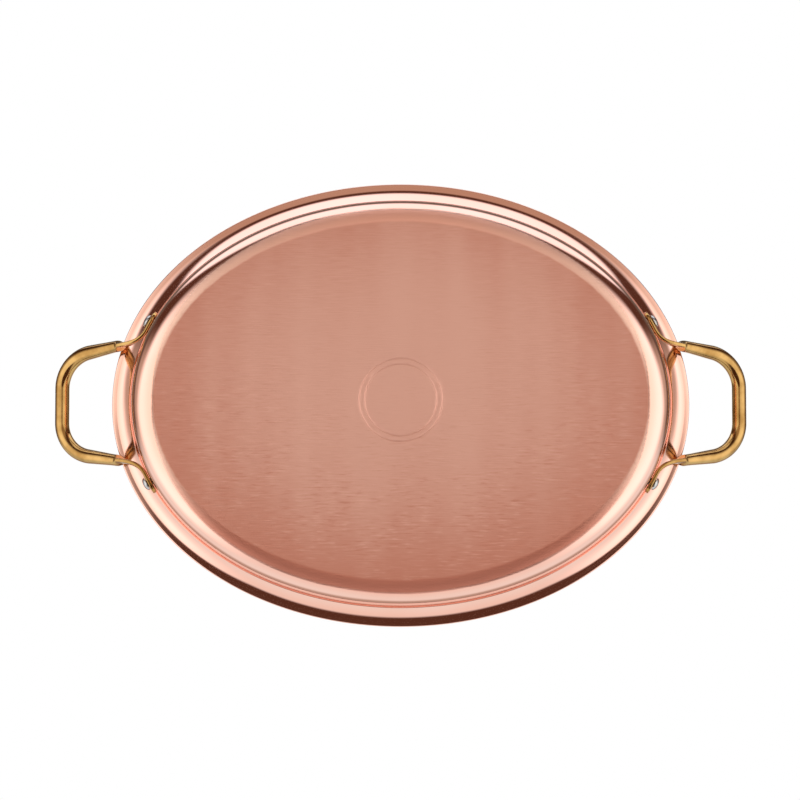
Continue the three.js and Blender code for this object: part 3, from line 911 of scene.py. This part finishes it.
def add_all_rivets():
    tree = rivet_tree()
    turn = np.array([rivet_turn()])
    seat = oval_points(turn, wall_out_at(tab_height), tab_height)
    outward = unit(np.column_stack([oval_normal(turn), [-math.tan(WALL_DRAFT)]]))
    corners = np.array([[x, y, 1] for x in (-1, 1) for y in (-1, 1)])
    replaced = [f"{side}_{end}_rivet" for side in ("left", "right") for end in ("front", "back")]
    add_rivets(tree, "pan_rivets", seat * corners, outward * corners, PAN_SHEET, "pan", replaced)
    lid_x = LID_RIVET_SPACING / 2 * np.array([-1, 1])
    seats, outward = over_dome(lid_x, LID_SHEET / 2)
    replaced = ["lid_left_rivet", "lid_right_rivet"]
    add_rivets(tree, "lid_rivets", seats, outward, LID_SHEET, "lid", replaced)


# Studio


def tint(red, green, blue):
    return (red, green, blue, 1.0)


def grey(tone):
    return tint(tone, tone, tone)


def add_staged(name, mesh, material):
    mesh.materials.append(material)
    thing = add_object(name, mesh)
    return thing


def add_world():
    """White all round, and a little darker at the horizon, where it meets the floor."""
    world = bpy.data.worlds.new("studio")
    bpy.context.scene.world = world
    world.use_nodes = True
    nodes = Nodes(world.node_tree)
    _, _, height = nodes.axes(nodes.place("Generated"))
    white = nodes.mix(nodes.fade(height, *HORIZON_FADE), grey(HORIZON_TONE), grey(1.0))
    background = nodes.node("ShaderNodeBackground", {"Color": white})
    nodes.node("ShaderNodeOutputWorld", {"Surface": background})
    # Sampled as a lamp, the world would light the copper through the tent and make the base too pale.
    world.cycles.sampling_method = "NONE"


def add_floor():
    """A pale floor that is seen from above only, so that the camera under it sees the base."""
    material, nodes = new_material("floor")
    seen = nodes.node("ShaderNodeLightPath", output="Is Camera Ray")
    behind = nodes.node("ShaderNodeNewGeometry", output="Backfacing")
    pale = nodes.node("ShaderNodeBsdfDiffuse", {"Color": grey(FLOOR_TONE)})
    clear = nodes.node("ShaderNodeBsdfTransparent")
    surface = nodes.node("ShaderNodeMixShader", {0: seen * (1 - behind), 1: clear, 2: pale})
    nodes.node("ShaderNodeOutputMaterial", {"Surface": surface})
    signs = ((-1, -1), (1, -1), (1, 1), (-1, 1))
    mesh = bpy.data.meshes.new("floor")
    mesh.from_pydata([(x * FLOOR_REACH, y * FLOOR_REACH, FLOOR_LEVEL) for x, y in signs], [], [(0, 1, 2, 3)])
    add_staged("floor", mesh, material)


def tent_light(nodes):
    """What the tent's surface shows: panels of light on dark cloth, alike on the left and the right.

    Directions are in degrees. Tilt is 0 straight down and 180 straight up. Side is -90 at the front,
    0 at either end and 90 at the back.
    """
    place = nodes.place("Object")
    x, y, z = nodes.axes(nodes.node("ShaderNodeVectorMath", {0: place}, operation="NORMALIZE"))
    tilt = nodes.math("ARCCOSINE", 0 - z) * math.degrees(1)
    side = nodes.math("ARCTAN2", y, nodes.math("ABSOLUTE", x)) * math.degrees(1)
    frontward = nodes.math("MAXIMUM", 0 - side, 0.0)
    backward = nodes.math("MAXIMUM", side, 0.0)

    def above(value, edge, soft):
        return nodes.fade(value, edge - soft, edge + soft)

    def below(value, edge, soft):
        return nodes.fade(value, edge - soft, edge + soft, 1.0, 0.0)

    # Lower border of the back screen and the end boxes, higher towards the back and lower towards the front
    low_edge = nodes.math("MINIMUM", 17 + 0.013 * backward * backward, 65.0)
    lit = above(tilt + 0.35 * frontward - low_edge, 0, 9)
    box_reach = above(side + 0.2 * nodes.math("MINIMUM", tilt, 40.0), -37, 20) * below(side, 50, 14)
    box_light = nodes.mix(nodes.fade(tilt, 24, 70), tint(1.36, 1.34, 1.3), tint(1.62, 1.62, 1.66))
    screen_light = nodes.mix(nodes.fade(tilt, 78, 104), tint(0.97, 0.97, 0.98), tint(0.96, 1.05, 1.09))
    screen_light = nodes.mix(nodes.fade(tilt, 114, 138), screen_light, tint(0.5, 0.4, 0.34))

    # Lower border of the front window, higher towards the ends
    past_window = nodes.math("MAXIMUM", side + 70, 0.0)
    window_edge = nodes.math("MINIMUM", 0.055 * past_window * past_window, 60.0) + 75
    window = above(tilt - window_edge, 0, 8) * below(tilt, 120, 9) * below(side, -38, 10)

    # A later panel lies over those before it.
    panels = {
        "front floor": (above(tilt, 9, 4) * below(tilt, 46, 9) * below(side, -6, 16), tint(0.53, 0.4, 0.32)),
        "upper room": (above(tilt, 120, 12), tint(0.16, 0.14, 0.12)),
        "ceiling": (above(tilt, 152, 8), grey(1.2)),
        "end walls": (above(tilt, 80, 8) * below(tilt, 112, 8) * above(side, -24, 9), tint(0.55, 0.48, 0.42)),
        "back screen": (lit * below(tilt, 160, 8) * above(side, 12, 10), screen_light),
        "end boxes": (lit * below(tilt + 0.55 * frontward, 90, 14) * box_reach, box_light),
        "front window": (window, tint(1.5, 1.54, 1.68)),
    }
    shown = tint(0.1, 0.045, 0.03)
    for share, light in panels.values():
        shown = nodes.mix(share, shown, light)
    return shown


def add_tent():
    """A light tent that shows in reflections only."""
    material, nodes = new_material("tent")
    glow = nodes.node("ShaderNodeEmission", {"Color": tent_light(nodes)})
    nodes.node("ShaderNodeOutputMaterial", {"Surface": glow})
    material.cycles.emission_sampling = "NONE"
    mesh = bpy.data.meshes.new("tent")
    shape = bmesh.new()
    bmesh.ops.create_icosphere(shape, subdivisions=TENT_SUBDIVISIONS, radius=TENT_RADIUS)
    shape.to_mesh(mesh)
    shape.free()
    tent = add_staged("tent", mesh, material)
    tent.visible_camera = False
    tent.visible_diffuse = False
    tent.visible_shadow = False


def add_camera():
    """The photograph's camera, aimed so that the middle of the rim lies on its pixel."""
    look = Vector((0, -math.sin(PHOTO_TILT), math.cos(PHOTO_TILT)))
    up = Vector((0, -math.cos(PHOTO_TILT), -math.sin(PHOTO_TILT)))
    right = look.cross(up)
    pixel = PHOTO_SPAN / PHOTO_PIXELS
    aside = RIM_CENTRE_PIXEL[0] - PHOTO_PIXELS / 2
    below = RIM_CENTRE_PIXEL[1] - PHOTO_PIXELS / 2
    aim = Vector((0, 0, PAN_HEIGHT - PAN_SHEET / 2)) + (up * below - right * aside) * pixel
    data = bpy.data.cameras.new("photo_camera")
    data.lens = data.sensor_width * PHOTO_DISTANCE / PHOTO_SPAN
    camera = add_object("photo_camera", data)
    place = Matrix((right, up, -look)).transposed().to_4x4()
    place.translation = (aim - look * PHOTO_DISTANCE) * MM
    camera.matrix_world = place
    bpy.context.scene.camera = camera


add_pan()
add_pan_handles()
add_lid()
add_lid_handle()
add_all_rivets()
add_world()
add_floor()
add_tent()
add_camera()
bpy.context.scene.view_settings.view_transform = "Standard"
